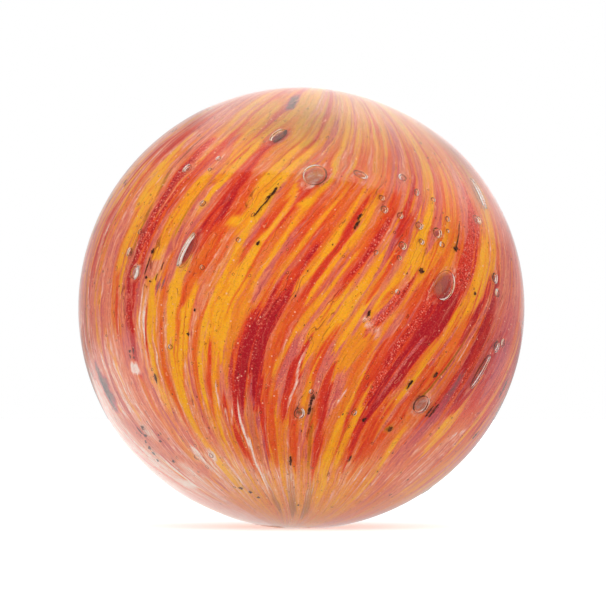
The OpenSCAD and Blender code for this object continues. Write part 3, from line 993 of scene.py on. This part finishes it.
def tendZones(layers, u, lat, milkier):
    # milkier round the left and the right, finer, more amber and darker at the top, the darkening painted
    # shade, browner below
    hue, veil, tone, smokeAndShade, seedy = layers
    above = past(lat, "above")
    lessLeft, lessRight = ground["crownLess"]
    crown = above * (1 - lessLeft * beside(u, "offCrownLeft"))
    crown = crown * (1 - lessRight * beside(u, "offCrownRight"))
    innerEnd, fading = zones["innerEnd"]
    masks = {
        "crown": crown, "crownRight": above * beside(u, "rightHalf"), "left": beside(u, "left"),
        "upperRight": beside(u, "outerRight") * past(lat, "middleUp"), "below": past(-lat, "below"),
        "window": beside(u, "innerRight") * past(lat, "lowUp") * smooth((innerEnd - u) / fading),
    }
    for name, (aim, share) in zoneHues.items():
        hue += masks[name] * (aim - hue) * share
    hue += above * wavesOf("crownHue", u, lat)
    veil += ground["leftMilk"] * milkier * beside(u, "leftHalf") + above * wavesOf("crownVeil", u, lat)
    for name, adds in zoneAdds.items():
        for field, add in zip((veil, tone, smokeAndShade), adds):
            field += add * masks[name]


def paintStreaks(u, lat):
    # u and lat in degrees for every point; returns hue, veil, tone, smoke, seedy
    layers = groundColours(u, lat)
    wavyU = u + wavesOf("sideways", u, lat)
    wavyLat = lat + wavesOf("lengthways", wavyU, lat)
    fray = wavesOf("fray", wavyU, wavyLat)
    pick = random.Random(colourLayer["edgeSeed"])
    broad = sorted(rearStreaks() + streaks, key=lambda one: -max(place[2] for place in one[1:]))
    last = colourLayer["overThin"]
    ordered = [(one, 1) for one in broad[:-last]]
    ordered += [(one, thinPattern["strength"]) for one in thinStreaks()]
    ordered += [(one, 1) for one in broad[-last:]]
    for one, strength in ordered:
        paintStreak(layers, wavyU, wavyLat, fray, one, strength, pick)
    edge, soft = colourLayer["patchEdge"]
    for name, patchU, patchLat, wide, long in patches:
        x = around(u - patchU) * np.cos(np.radians(patchLat)) / (0.5 * wide)
        mask = smooth((edge - np.hypot(x, (lat - patchLat) / (0.5 * long))) / soft)
        brushOn(layers, [paints[name].get(key) for key in channels], mask)
    start, span, least = colourLayer["milkFrom"]
    milkier = least + (1 - least) * smooth((layers[1] - start) / span)
    for washU, washLat, wide, long, *changes in washes:
        x = around(u - washU) * np.cos(np.radians(washLat)) / (0.5 * wide)
        mask = smooth(colourLayer["washEdge"] - np.hypot(x, (lat - washLat) / (0.5 * long)))
        changes[1] = changes[1] * milkier
        for field, change in zip(layers, changes):
            field += change * mask
    tendZones(layers, wavyU, wavyLat, milkier)
    return layers


def writeLayer(piece, name, kind, key, values):
    # one value or vector for every point of the mesh
    layer = piece.data.attributes.new(name, kind, "POINT")
    layer.data.foreach_set(key, values.ravel())


def makeColourLayer():
    # a sheet of colours, rolled round the ball along the twist and closed at its seam and poles
    ready()
    across, up = colourLayer["columns"], colourLayer["rows"]
    bpy.ops.mesh.primitive_grid_add(x_subdivisions=across, y_subdivisions=up, size=2)
    piece = bpy.context.object
    flat = np.empty(len(piece.data.vertices) * 3)
    piece.data.vertices.foreach_get("co", flat)
    spots = flat.reshape(-1, 3)
    turn, lat = spots[:, 0] * math.pi, spots[:, 1] * math.pi / 2
    streak = turn - colourLayer["frontPacking"] * np.sin(turn)
    placed = dentUnderBells(onBall(lat, twistedLon(streak, lat), coreShare))
    piece.data.vertices.foreach_set("co", placed.ravel())
    straight, height = np.degrees(streak), np.degrees(lat)
    u = bendRoundBells(straight, height)
    layers = paintStreaks(u, height)
    tintAndLightUnderBells(straight, height, layers)
    writeLayer(piece, "streakPaint", "FLOAT_COLOR", "color", np.stack(layers[:4], 1))
    writeLayer(piece, "seedy", "FLOAT", "value", layers[4])
    run = np.radians(u)
    flow = np.stack([np.cos(run), np.sin(run), lat * colourLayer["flowStretch"]], 1)
    writeLayer(piece, "flow", "FLOAT_VECTOR", "vector", flow * equatorRadius / mm)
    piece.data.update()
    editAll()
    bpy.ops.mesh.remove_doubles(threshold=1e-6)
    bpy.ops.mesh.normals_make_consistent(inside=False)
    bpy.ops.object.mode_set(mode="OBJECT")
    bpy.ops.object.shade_smooth()
    piece.data.materials.append(streakMaterial())
    settle(piece, "colourLayer")


streakLook = {
    "looks": {"Roughness": 0.5, "IOR": 1.05}, "relief": 0.1 * mm, "rough": 0.62,
    # how the streaks waver: scale and amount, and how much of it goes along them
    "wobbles": ((260, 1.6), (1100, 0.3)), "wobbleAlong": 0.15,
    # strands: scale across the streaks, detail, and where in the noise they start
    "broad": (0.75, 5, (3, 1, 7)), "fine": (2.4, 4, (31, 8, 2)),
    "milky": (1.5, 6, (12, 40, 5)), "feather": (3.2, 3, (7, 3, 44)),
    "hue": (0.75, 0.1, 0.405), "threads": (0.4, 0.6), "veil": (1.3, 0.92), "veilSpan": (0.88, 1.42),
    "tone": (1.3, 0.65), "smokeAndShade": 0.3, "smokeAndShadeSpan": (0.2, 1.1), "smokeAndShadeTint": (70, 40, 22),
    "hairWide": 0.012, "hairEdge": 0.0036, "hairGaps": 1.7, "gapSoft": 0.1,
    # light and dark within a streak, and how much feather and mottle stand out in the relief
    "mottle": (4200, 3), "feathered": 0.5, "uneven": ((0.45, 1.05), (0.93, 1.07)), "standOut": (0.8, 0.5),
}
warmStops = [
    (0.0, (176, 30, 43)), (0.18, (206, 52, 42)), (0.38, (222, 74, 38)), (0.58, (231, 112, 42)),
    (0.78, (236, 148, 46)), (0.92, (244, 168, 36)), (1.0, (250, 184, 46)),
]
milkStops = [
    (0.0, (112, 104, 98)), (0.2, (192, 82, 98)), (0.45, (212, 108, 104)),
    (0.7, (232, 140, 104)), (0.88, (240, 186, 166)), (1.0, (252, 238, 228)),
]
# thin lines along the streaks: scale, where in the noise, where they break off, strength, colour
hairLines = (
    (0.8, (2, 19, 5), 0.52, 0.65, (138, 44, 28)), (1.7, (14, 6, 9), 0.52, 0.55, (138, 44, 28)),
    (1.2, (22, 9, 15), 0.53, 0.5, (248, 186, 140)),
)
# specks: only in seedy glass or not, scale, size, what is taken off it, edge, strength, colour
specks = (
    # painted shadow among the seeds, then the seeds' light specks, their paleness a painted glint
    (True, 6300, 0.8, 0.12, (0, 0.16), 0.6, (140, 26, 30)),
    (True, 7600, 0.95, 0.12, (0, 0.16), 0.7, (236, 112, 92)),
    (True, 5000, 0.62, 0.12, (0, 0.16), 0.75, (244, 172, 150)),
    # dark grit, then fine pale specks that are painted glints
    (False, 2300, 0.5, 0.31, (-0.02, 0.08), 0.7, (110, 50, 26)),
    (False, 2000, 0.5, 0.29, (-0.02, 0.08), 0.8, (252, 208, 176)),
)


def wobble(tree, place, vector, scale, amount):
    # streaks waver sideways a little
    drift = noiseAt(tree, place, scale, 2)
    centred = put(tree, "VectorMath", {
        0: drift.outputs["Color"], 1: (0.5, 0.5, 0.5),
    }, operation="SUBTRACT")
    moved = put(tree, "VectorMath", {
        0: centred.outputs[0], 1: (amount, amount, amount * streakLook["wobbleAlong"]), 2: vector,
    }, operation="MULTIPLY_ADD")
    return moved.outputs[0]


def strands(tree, flow, scale, detail, shift):
    moved = put(tree, "VectorMath", {0: flow, 1: shift}, operation="ADD")
    threads = noiseAt(tree, moved.outputs[0], scale, detail)
    threads.inputs["Roughness"].default_value = streakLook["rough"]
    return threads.outputs["Fac"]


def hairs(tree, flow, scale, shift, gap):
    # thin lines along the flow, broken here and there
    away = mathNode(tree, "SUBTRACT", strands(tree, flow, scale, 1, shift), 0.5)
    away = mathNode(tree, "ABSOLUTE", away)
    line = fade(tree, away, (streakLook["hairWide"], streakLook["hairEdge"]))
    turned = (shift[2], shift[0], shift[1])
    gaps = strands(tree, flow, scale * streakLook["hairGaps"], 2, turned)
    return mathNode(tree, "MULTIPLY", line, fade(tree, gaps, (gap, gap + streakLook["gapSoft"])))


def scattered(tree, place, scale, size, less, edge):
    # specks of random size, 1 inside them
    cells = put(tree, "TexVoronoi", {"Scale": scale, "Vector": place})
    chance = put(tree, "TexWhiteNoise", {"Vector": cells.outputs["Position"]})
    speck = mathNode(tree, "MULTIPLY_ADD", chance.outputs["Value"], size, -less)
    speck = mathNode(tree, "SUBTRACT", speck, cells.outputs["Distance"])
    return fade(tree, speck, edge)


def streakMaterial():
    look = streakLook
    material, tree, body = newMaterial("twistedColours", look["looks"])
    paint = put(tree, "Attribute", attribute_name="streakPaint")
    hue, veil, tone = put(tree, "SeparateColor", {0: paint.outputs["Color"]}).outputs
    seedy = put(tree, "Attribute", attribute_name="seedy").outputs["Fac"]
    flow = put(tree, "Attribute", attribute_name="flow").outputs["Vector"]
    place = put(tree, "TexCoord").outputs["Object"]
    for scale, amount in look["wobbles"]:
        flow = wobble(tree, place, flow, scale, amount)
    broad = strands(tree, flow, *look["broad"])
    fine = strands(tree, flow, *look["fine"])
    milky = strands(tree, flow, *look["milky"])
    feather = strands(tree, flow, *look["feather"])
    # the clear colours
    spread, threaded, less = look["hue"]
    threads = fade(tree, fine, look["threads"])
    hue = mathNode(tree, "MULTIPLY_ADD", broad, spread, hue)
    hue = mathNode(tree, "MULTIPLY_ADD", threads, threaded, hue)
    hue = mathNode(tree, "SUBTRACT", hue, less)
    warm = ramp(tree, hue, [(stop, underGlass(*tint)) for stop, tint in warmStops])
    # milky streaks, feathered where they thin out
    veil = mathNode(tree, "MULTIPLY_ADD", milky, look["veil"][0], veil)
    veil = fade(tree, veil, look["veilSpan"])
    veil = mathNode(tree, "MULTIPLY", veil, look["veil"][1])
    tone = mathNode(tree, "MULTIPLY_ADD", feather, look["tone"][0], tone)
    tone = mathNode(tree, "SUBTRACT", tone, look["tone"][1])
    milk = ramp(tree, tone, [(stop, underGlass(*tint)) for stop, tint in milkStops])
    colour = blend(tree, veil, warm, milk)
    for scale, shift, gap, strength, tint in hairLines:
        line = hairs(tree, flow, scale, shift, gap)
        line = mathNode(tree, "MULTIPLY", line, strength)
        colour = blend(tree, line, colour, underGlass(*tint))
    # smoke: smoky glass, with painted shade at the crown and painted light under the bells
    smokeAndShade = mathNode(tree, "MULTIPLY_ADD", fine, look["smokeAndShade"], paint.outputs["Alpha"])
    smokeAndShade = fade(tree, smokeAndShade, look["smokeAndShadeSpan"])
    colour = blend(tree, smokeAndShade, colour, underGlass(*look["smokeAndShadeTint"]))
    # light and dark within each streak
    mottle = noiseAt(tree, place, *look["mottle"]).outputs["Fac"]
    uneven = mathNode(tree, "MULTIPLY_ADD", feather, look["feathered"], mottle)
    uneven = fade(tree, uneven, *look["uneven"], "LINEAR")
    colour = put(tree, "HueSaturation", {"Value": uneven, "Color": colour}).outputs[0]
    # frosty seeds, thick in the red, as light specks with painted glint and dark ones as painted shadow
    # among them, then a little grit all over and fine pale specks that are painted glints
    for inSeedy, *kind, strength, tint in specks:
        speck = scattered(tree, place, *kind)
        if inSeedy:
            speck = mathNode(tree, "MULTIPLY", speck, seedy)
        speck = mathNode(tree, "MULTIPLY", speck, strength)
        colour = blend(tree, speck, colour, underGlass(*tint))
    wire(tree, colour, body.inputs["Base Color"])
    # the streaks stand a little proud of one another
    relief = mathNode(tree, "MULTIPLY_ADD", feather, look["standOut"][0], fine)
    relief = mathNode(tree, "MULTIPLY_ADD", mottle, look["standOut"][1], relief)
    bumpOn(tree, body, relief, look["relief"], 1)
    return material


makeColourLayer()
print("marble: colour layer twisted and painted")

# clear glass over the colours
clearGlass = {
    "segments": 256, "rings": 144, "sharpAngle": 3.5, "sideAngle": 24, "sideWide": 4.6 * mm,
    "looks": {"Base Color": (1, 1, 1, 1), "Roughness": 0.0, "IOR": 1.5, "Transmission Weight": 1},
    # small pits from use, their size and edge, and the slow unevenness of the hand-turned surface
    "pitScale": 560, "pitDepth": 0.03 * mm, "pitSize": (0.16, -0.08), "pitEdge": (-0.02, 0.02),
    "swellScale": 220, "swell": 0.35,
    "groundLooks": {
        "Base Color": (0.93, 0.9, 0.86, 1), "Roughness": 0.42, "IOR": 1.5, "Transmission Weight": 1,
    },
    "scratches": (500, 6000, 2500), "scratchDetail": 5, "scratchDepth": 0.02 * mm, "scratched": 0.5,
}

# chips at the foot: turned this far round it from the front, tilted from straight down, width in mm
chips = [
    (-52, 9.6, 1.5), (-70, 11, 1.1), (-38, 10, 1.0), (-83, 9.4, 1.2), (12, 9.2, .9), (150, 9.8, 1.4),
    (95, 9.3, .8),
]


def glassMaterial():
    material, tree, body = newMaterial("clearGlass", clearGlass["looks"])
    place = put(tree, "TexCoord").outputs["Object"]
    cells = put(tree, "TexVoronoi", {"Scale": clearGlass["pitScale"], "Vector": place})
    chance = put(tree, "TexWhiteNoise", {"Vector": cells.outputs["Position"]})
    size = mathNode(tree, "MULTIPLY_ADD", chance.outputs["Value"], *clearGlass["pitSize"])
    deep = mathNode(tree, "SUBTRACT", cells.outputs["Distance"], size)
    pits = fade(tree, deep, clearGlass["pitEdge"])
    swell = noiseAt(tree, place, clearGlass["swellScale"], 1).outputs["Fac"]
    height = mathNode(tree, "MULTIPLY_ADD", swell, clearGlass["swell"], pits)
    bumpOn(tree, body, height, clearGlass["pitDepth"], 1)
    return material


def groundMaterial():
    # ground glass: frosted, with the wheel's fine scratches
    material, tree, body = newMaterial("groundGlass", clearGlass["groundLooks"])
    place = put(tree, "TexCoord").outputs["Object"]
    drawn = put(tree, "Mapping", {"Scale": clearGlass["scratches"], "Vector": place})
    scratches = noiseAt(tree, drawn.outputs[0], 1, clearGlass["scratchDetail"]).outputs["Fac"]
    bumpOn(tree, body, scratches, clearGlass["scratchDepth"], clearGlass["scratched"])
    return material


def bellTemplate(kind):
    # one air bell, a little pear-shaped, its faces turned inward because the air is inside
    ready()
    segments, rings = airBells[kind]
    bpy.ops.mesh.primitive_uv_sphere_add(segments=segments, ring_count=rings, radius=1)
    bell = bpy.context.object
    editAll()
    bpy.ops.mesh.flip_normals()
    bpy.ops.object.mode_set(mode="OBJECT")
    for vertex in bell.data.vertices:
        vertex.co.x *= 1 - airBells["pear"] * vertex.co.y
    bpy.ops.object.shade_smooth()
    bell.data.materials.append(bpy.data.materials["clearGlass"])
    return bell


def joinBells(glass):
    large, small, tiny = bellTemplate("large"), bellTemplate("small"), bellTemplate("tiny")
    pick = random.Random(airBells["seed"] + 1)
    pieces = [glass]
    for u, lat, wide, long in bells:
        thick = bellThickness(wide, long)
        template = large if wide > airBells["largeFrom"] else small
        depth = airBells["cover"] + thick / 2
        pieces.append(laidOn(template, u, lat, wide * mm, long * mm, thick, depth))
    for index in range(airBells["seeds"]):
        u, lat = pick.uniform(-180, 180), math.degrees(math.asin(pick.uniform(*airBells["seedHeights"])))
        wide = pick.choice(airBells["seedWidths"]) * mm
        long = wide * pick.choice(airBells["seedStretch"])
        depth = pick.uniform(*airBells["seedDepths"]) * mm
        pieces.append(laidOn(tiny, u, lat, wide, long, wide, depth))
    for template in (large, small, tiny):
        bpy.data.objects.remove(template)
    joinAll(pieces)


def chipAt(turn, tilt, wide):
    # a chip's way out from the centre, turned round the foot and tilted from straight down
    turn, tilt = math.radians(turn), math.radians(tilt)
    across = math.sin(tilt)
    return Vector((across * math.sin(turn), -across * math.cos(turn), -math.cos(tilt))), wide * mm


def cutPlanes():
    # each cut: a point on its plane and the way it faces
    planes = [(Vector((0, 0, 0)), Vector((0, 0, -1)))]
    tilt = math.radians(clearGlass["sideAngle"])
    side = Vector((-math.sin(tilt), 0, -math.cos(tilt)))
    for toward, wide in [(side, clearGlass["sideWide"])] + [chipAt(*chip) for chip in chips]:
        share = toward.dot(Vector(poleAxis)) ** 2
        surface = math.sqrt(equatorRadius ** 2 * (1 - share) + poleRadius ** 2 * share)
        planes.append((centre + toward * (surface - wide ** 2 / 8 / surface), toward))
    return planes


def grindFacets(glass):
    # the ground foot, the small ground spot beside it and the chips round them
    glass.data.materials.append(glassMaterial())
    glass.data.materials.append(groundMaterial())
    for point, way in cutPlanes():
        pickOut([glass])
        editAll()
        bpy.ops.mesh.bisect(plane_co=point, plane_no=way, use_fill=True, clear_outer=True, threshold=1e-7)
        bpy.ops.object.mode_set(mode="OBJECT")
        for face in glass.data.polygons:
            if face.normal.dot(way) > 0.99999 and abs((face.center - point).dot(way)) < 1e-6:
                face.material_index = 1


def makeClearGlass():
    ready()
    bpy.ops.mesh.primitive_uv_sphere_add(
        segments=clearGlass["segments"], ring_count=clearGlass["rings"],
        radius=equatorRadius, location=centre,
    )
    glass = bpy.context.object
    pickOut([glass])
    bpy.ops.object.transform_apply(location=True, rotation=True, scale=True)
    editAll()
    bpy.ops.transform.resize(value=(1, 1, poleRadius / equatorRadius), center_override=centre)
    bpy.ops.transform.rotate(value=lean, orient_axis="Y", center_override=centre)
    bpy.ops.object.mode_set(mode="OBJECT")
    grindFacets(glass)
    bpy.ops.object.shade_smooth_by_angle(angle=math.radians(clearGlass["sharpAngle"]))
    joinBells(glass)
    settle(glass, "clearGlass")
    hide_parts("marble")


makeClearGlass()
print("marble: clear glass laid over")


# dark flecks: streak number, latitude, width and length in degrees, and how deep each lies in mm
flecks = [
    (-26.5, 31.5, 1, 4, .5), (-26.2, 27, .4, 5, .5), (-1.3, 26.3, .8, 1.6, .5), (-.6, 24, .9, 1.8, .5),
    (34.5, 19.2, 1.6, 1, .5), (34.6, 23, .3, 7, .5), (25.3, 12.5, 1.4, 1.1, .5), (18.2, 0, 1, 1.4, .5),
    (50, -15, 1.1, 1.3, .5), (43.7, -18.2, .9, 2, .5), (15, -25, 1, 3, .5), (15.3, -28, .8, 2, .5),
    (-28.6, -2.7, .5, .5, .4), (-29.5, -9.3, 1, .8, .5), (-44, -22, .6, 1.8, .5), (-47.5, 12, 1, 1, .5),
    (58.5, -25, .6, 4, .5), (57, -25.5, .4, 3, .5), (36, -29.5, 1.3, .8, .5), (47.5, -31.8, 1.2, 1.2, .5),
    (38.5, -42.5, .6, 1.6, .5), (10, -45, .6, 3, .5), (-51, -16.6, .9, .5, .3), (-52.3, -15, 1, .5, .3),
    (-50.6, -14.8, .4, 1.4, .3), (-52.6, -16.4, .4, .8, .3), (-47.6, 9, .22, 2.4, .55),
    (-47.7, 6.8, .26, 2, .55), (-46.9, 5, .6, .6, .55), (-45.2, 4, 1, .4, .55), (-43.4, 5.2, .3, 1.3, .55),
    (-42.6, 8.4, .22, 2.2, .55), (-20.5, 16.5, .9, .9, .5), (48, 7.5, .8, .8, .5), (-56.5, 2, .4, .4, .3),
    (-42.2, 64, .8, 2.4, .5), (-75.5, -26, 1.4, 7, .55), (-65, -37, 1.6, .9, .3),
    (-67.5, -39.5, 2.2, .6, .3), (-68.5, -38, .9, 1.6, .3), (-71, -41.5, 1.8, .6, .3),
    (-72.5, -43.5, 2.4, .8, .3), (-73.8, -45.5, 1.6, .7, .3), (-77, -48, 1.8, .6, .3),
    (-64.5, -48, 1.6, .7, .3), (-60, -41, 1.4, .5, .3), (-58, -39, 1, .4, .3), (-31, -57.5, 2.6, .8, .3),
    (-25.5, -59, 2.2, .7, .3), (-22, -61.5, 2, .6, .3), (14, -64, 1.6, .5, .3), (74, -48, .9, .5, .3),
    (89, -31, 1.2, 1.8, .3), (-85, 24, .5, 2, .3), (-85.5, 16, .5, 1.6, .3), (-82, -22, .5, 1, .3),
]
fleckShape = {
    "thick": 0.09 * mm, "deepest": 0.56 * mm, "atSurface": 0.2, "ragged": 0.75, "ripple": (2.5, 2.7, 0.6),
    "trim": 0.82, "trimFrom": 0.7, "seed": 21, "subdivisions": (3, 2),
    "rearFlecks": 30, "rearSizes": (.4, .6, .8, 1, 1.4), "rearStretch": (1, 1.2, 2, 3),
    "rearStreaks": (80, 282), "rearLats": (-55, 60), "rearDepths": (.5, .4, 0),
    # long flecks break in three: how long to how wide, and by how much the parts differ
    "breakFrom": (2.5, 2), "partSize": (0.75, 1.25), "partDrift": (-0.25, 0.25), "partLong": 1.25,
    # the larger ones have a crumb beside them
    "crumbFrom": 0.6, "crumbAway": (1.4, 0.8), "crumbSize": 0.3,
    "specks": 260, "speckSizes": (.14, .18, .22, .3), "speckStretch": (1, 1.4, 2.2),
    "speckHeights": (-0.93, 0.93), "speckDepth": 0.5, "smallBelow": 0.25,
    "looks": {"Roughness": 0.6, "Specular IOR Level": 0.2}, "grain": (4200, 4),
    "stops": [(0.4, (0.04, 0.006, 0.001, 1)), (0.72, (0.22, 0.06, 0.012, 1))],
}


def grainMaterial(name, looks, grain, stops):
    # one opaque colour with a little of another in it
    material, tree, body = newMaterial(name, looks)
    place = put(tree, "TexCoord").outputs["Object"]
    cloudy = noiseAt(tree, place, *grain).outputs["Fac"]
    wire(tree, ramp(tree, cloudy, stops), body.inputs["Base Color"])
    return material


def fleckTemplate(subdivisions, material):
    ready()
    bpy.ops.mesh.primitive_ico_sphere_add(subdivisions=subdivisions, radius=1)
    template = bpy.context.object
    bpy.ops.object.shade_smooth()
    template.data.materials.append(material)
    return template


def drawFlecks(pick):
    # the placed flecks and those of the far side; long ones are drawn out into a few that nearly touch
    look = fleckShape
    drawn = list(flecks)
    for index in range(look["rearFlecks"]):
        size = pick.choice(look["rearSizes"])
        long = size * pick.choice(look["rearStretch"])
        u, lat = pick.uniform(*look["rearStreaks"]), pick.uniform(*look["rearLats"])
        drawn.append((u, lat, size, long, pick.choice(look["rearDepths"])))
    broken = []
    for u, lat, wide, long, depth in drawn:
        if wide > look["trimFrom"]:
            wide = wide * look["trim"]
        parts = 3 if long > look["breakFrom"][0] * wide and long > look["breakFrom"][1] else 1
        for index in range(parts):
            share = (index + 0.5) / parts - 0.5
            size = pick.uniform(*look["partSize"]) if parts > 1 else 1
            drift = pick.uniform(*look["partDrift"]) * wide * (parts > 1)
            partLong = long / parts * look["partLong"] * size
            broken.append((u + drift, lat + share * long, wide * size, partLong, depth))
            if wide * long > look["crumbFrom"]:
                across, up = look["crumbAway"]
                strayU, strayLat = pick.uniform(-across, across) * wide, pick.uniform(-up, up) * long
                crumb = (look["crumbSize"] * wide, look["crumbSize"] * min(long, wide * 2))
                broken.append((u + strayU, lat + strayLat, *crumb, depth))
    for index in range(look["specks"]):
        lat = math.degrees(math.asin(pick.uniform(*look["speckHeights"])))
        size = pick.choice(look["speckSizes"])
        u = pick.uniform(-180, 180)
        long = size * pick.choice(look["speckStretch"])
        broken.append((u, lat, size, long, look["speckDepth"]))
    return broken


def makeFlecks():
    look = fleckShape
    slag = grainMaterial("slag", look["looks"], look["grain"], look["stops"])
    large, small = (fleckTemplate(subdivisions, slag) for subdivisions in look["subdivisions"])
    pick = random.Random(look["seed"])
    near, finer, finerShare = look["ripple"]
    pieces = []
    for u, lat, wide, long, depth in drawFlecks(pick):
        wideHere = max(wide * degree * math.cos(math.radians(lat)), look["thick"])
        sunk = min(depth * mm if depth else look["thick"] * look["atSurface"], look["deepest"])
        template = small if wide * long < look["smallBelow"] else large
        piece = laidOn(template, u, lat, wideHere, long * degree, look["thick"], sunk)
        here, along, across, out = frameAt(u, lat)
        middle = here - out * sunk
        shift = Vector([pick.uniform(0, 50) for axis in range(3)])
        for vertex in piece.data.vertices:
            arm = vertex.co - middle
            flat = arm - arm.dot(out) * out
            spot = Vector((arm.dot(across) / wideHere, arm.dot(along) / wideHere, 0)) * near + shift
            ragged = noise.noise(spot) + finerShare * noise.noise(spot * finer)
            vertex.co += flat * ragged * look["ragged"]
        pieces.append(piece)
    for template in (small, large):
        bpy.data.objects.remove(template)
    joinAll(pieces)
    settle(pieces[0], "darkFlecks")


makeFlecks()
print("marble: dark flecks laid in")


# edges of the bells, slivers of painted highlight on the bright side and painted shade on the dark side;
# those with a strong edge have their bright side's and dark side's thickness here, as shares of the half
# width
strongEdges = {
    (-36.7, 13): (0.46, 0), (51.5, 36): (0.55, 0), (66, -13): (0.36, 0.1), (-38.5, 51.5): (0.2, 0.4),
    (52, -23.5): (0.14, 0.1), (34.9, 9.2): (0.07, 0), (-51.5, 6): (0.6, 0), (44.3, 28): (0.6, 0),
    (-20.4, 38.2): (0.05, 0.04), (55.5, 12): (0.6, 0.2), (58.5, 8): (0.6, 0.15), (-52.9, 36.7): (0.6, 0),
    (-46.6, 41): (0.8, 0), (-55.7, 11.2): (0.6, 0.1), (67.5, -6): (0.5, 0.2), (70.5, -5): (0.5, 0.2),
}
# the slivers of painted highlight and painted shade: their shape, size and place, and their colours
edgeShape = {
    "turns": 20, "sides": 4, "bright": 0.34, "dark": 0.11, "mid": 0.6, "outward": 0.7, "seed": 8,
    "from": 0.1, "fullAt": 0.55, "ends": 0.02, "tuckedIn": 0.6,
    "swapBelow": 1.5, "lift": 0.45, "wider": (1.04, 1.02, 1.2), "grain": (600, 3), "stopsAt": (0.38, 0.52),
    "paintedHighlight": ("paintedHighlightSkin", (250, 205, 160), (254, 246, 238), 0.4),
    "paintedShade": ("paintedShadeSkin", (150, 66, 34), (96, 44, 28), 0.5),
}


def edgeMaterial(name, dull, full, roughness):
    # a sliver at a bell's edge: pale for the painted highlight the bell shows on one side, dark for the
    # painted shade on the other
    stops = list(zip(edgeShape["stopsAt"], (underGlass(*dull), underGlass(*full))))
    return grainMaterial(name, {"Roughness": roughness}, edgeShape["grain"], stops)


def edgeTemplate(thick, side, material):
    # half a ring that thins to nothing at both ends
    look = edgeShape
    ready()
    bpy.ops.mesh.primitive_torus_add(
        major_segments=look["turns"], minor_segments=look["sides"], major_radius=1, minor_radius=thick,
    )
    edge = bpy.context.object
    editAll()
    start = (look["from"], 0, 0)
    bpy.ops.mesh.bisect(
        plane_co=start, plane_no=(-1, 0, 0), use_fill=True, clear_outer=True, threshold=1e-7,
    )
    bpy.ops.object.mode_set(mode="OBJECT")
    for vertex in edge.data.vertices:
        out = Vector((vertex.co.x, vertex.co.y, 0))
        ring = out.normalized() * (1 - thick * look["tuckedIn"])
        share = min(max((out.x - look["from"]) / look["fullAt"], 0), 1)
        share = look["ends"] + (1 - look["ends"]) * share
        vertex.co = ring + (vertex.co - out.normalized()) * share
    editAll()
    if side < 0:
        bpy.ops.transform.rotate(value=math.pi, orient_axis="Z", center_override=(0, 0, 0))
    bpy.ops.mesh.normals_make_consistent(inside=False)
    bpy.ops.object.mode_set(mode="OBJECT")
    bpy.ops.object.shade_smooth()
    edge.data.materials.append(material)
    return edge


def makeBellHighlightsAndShades():
    look = edgeShape
    bright, dark = edgeMaterial(*look["paintedHighlight"]), edgeMaterial(*look["paintedShade"])
    pick = random.Random(look["seed"])
    widen, lengthen, thicken = look["wider"]
    pieces, templates = [], {}
    for u, lat, wide, long in bells:
        # the painted highlight goes on the side towards the ball's outline and the painted shade on the
        # other, a few small bells the other way round
        side = 1 if u > 0 else -1
        if pick.random() > look["outward"] and wide < look["swapBelow"]:
            side = -side
        less = min(1, look["mid"] / wide)
        shares = strongEdges.get((u, lat), (look["bright"] * less, look["dark"] * less))
        thickness = bellThickness(wide, long)
        depth = airBells["cover"] + thickness * look["lift"]
        for thick, way, material in ((shares[0], side, bright), (shares[1], -side, dark)):
            if not thick:
                continue
            key = (round(thick, 2), way, material.name)
            if key not in templates:
                templates[key] = edgeTemplate(round(thick, 2), way, material)
            size = (wide * mm * widen, long * mm * lengthen, thickness * thicken)
            pieces.append(laidOn(templates[key], u, lat, *size, depth))
    for template in templates.values():
        bpy.data.objects.remove(template)
    joinAll(pieces)
    settle(pieces[0], "bellHighlightsAndShades")


# the bells' painted highlights and painted shades
makeBellHighlightsAndShades()
print("marble: bright and dark edges laid on the bells")
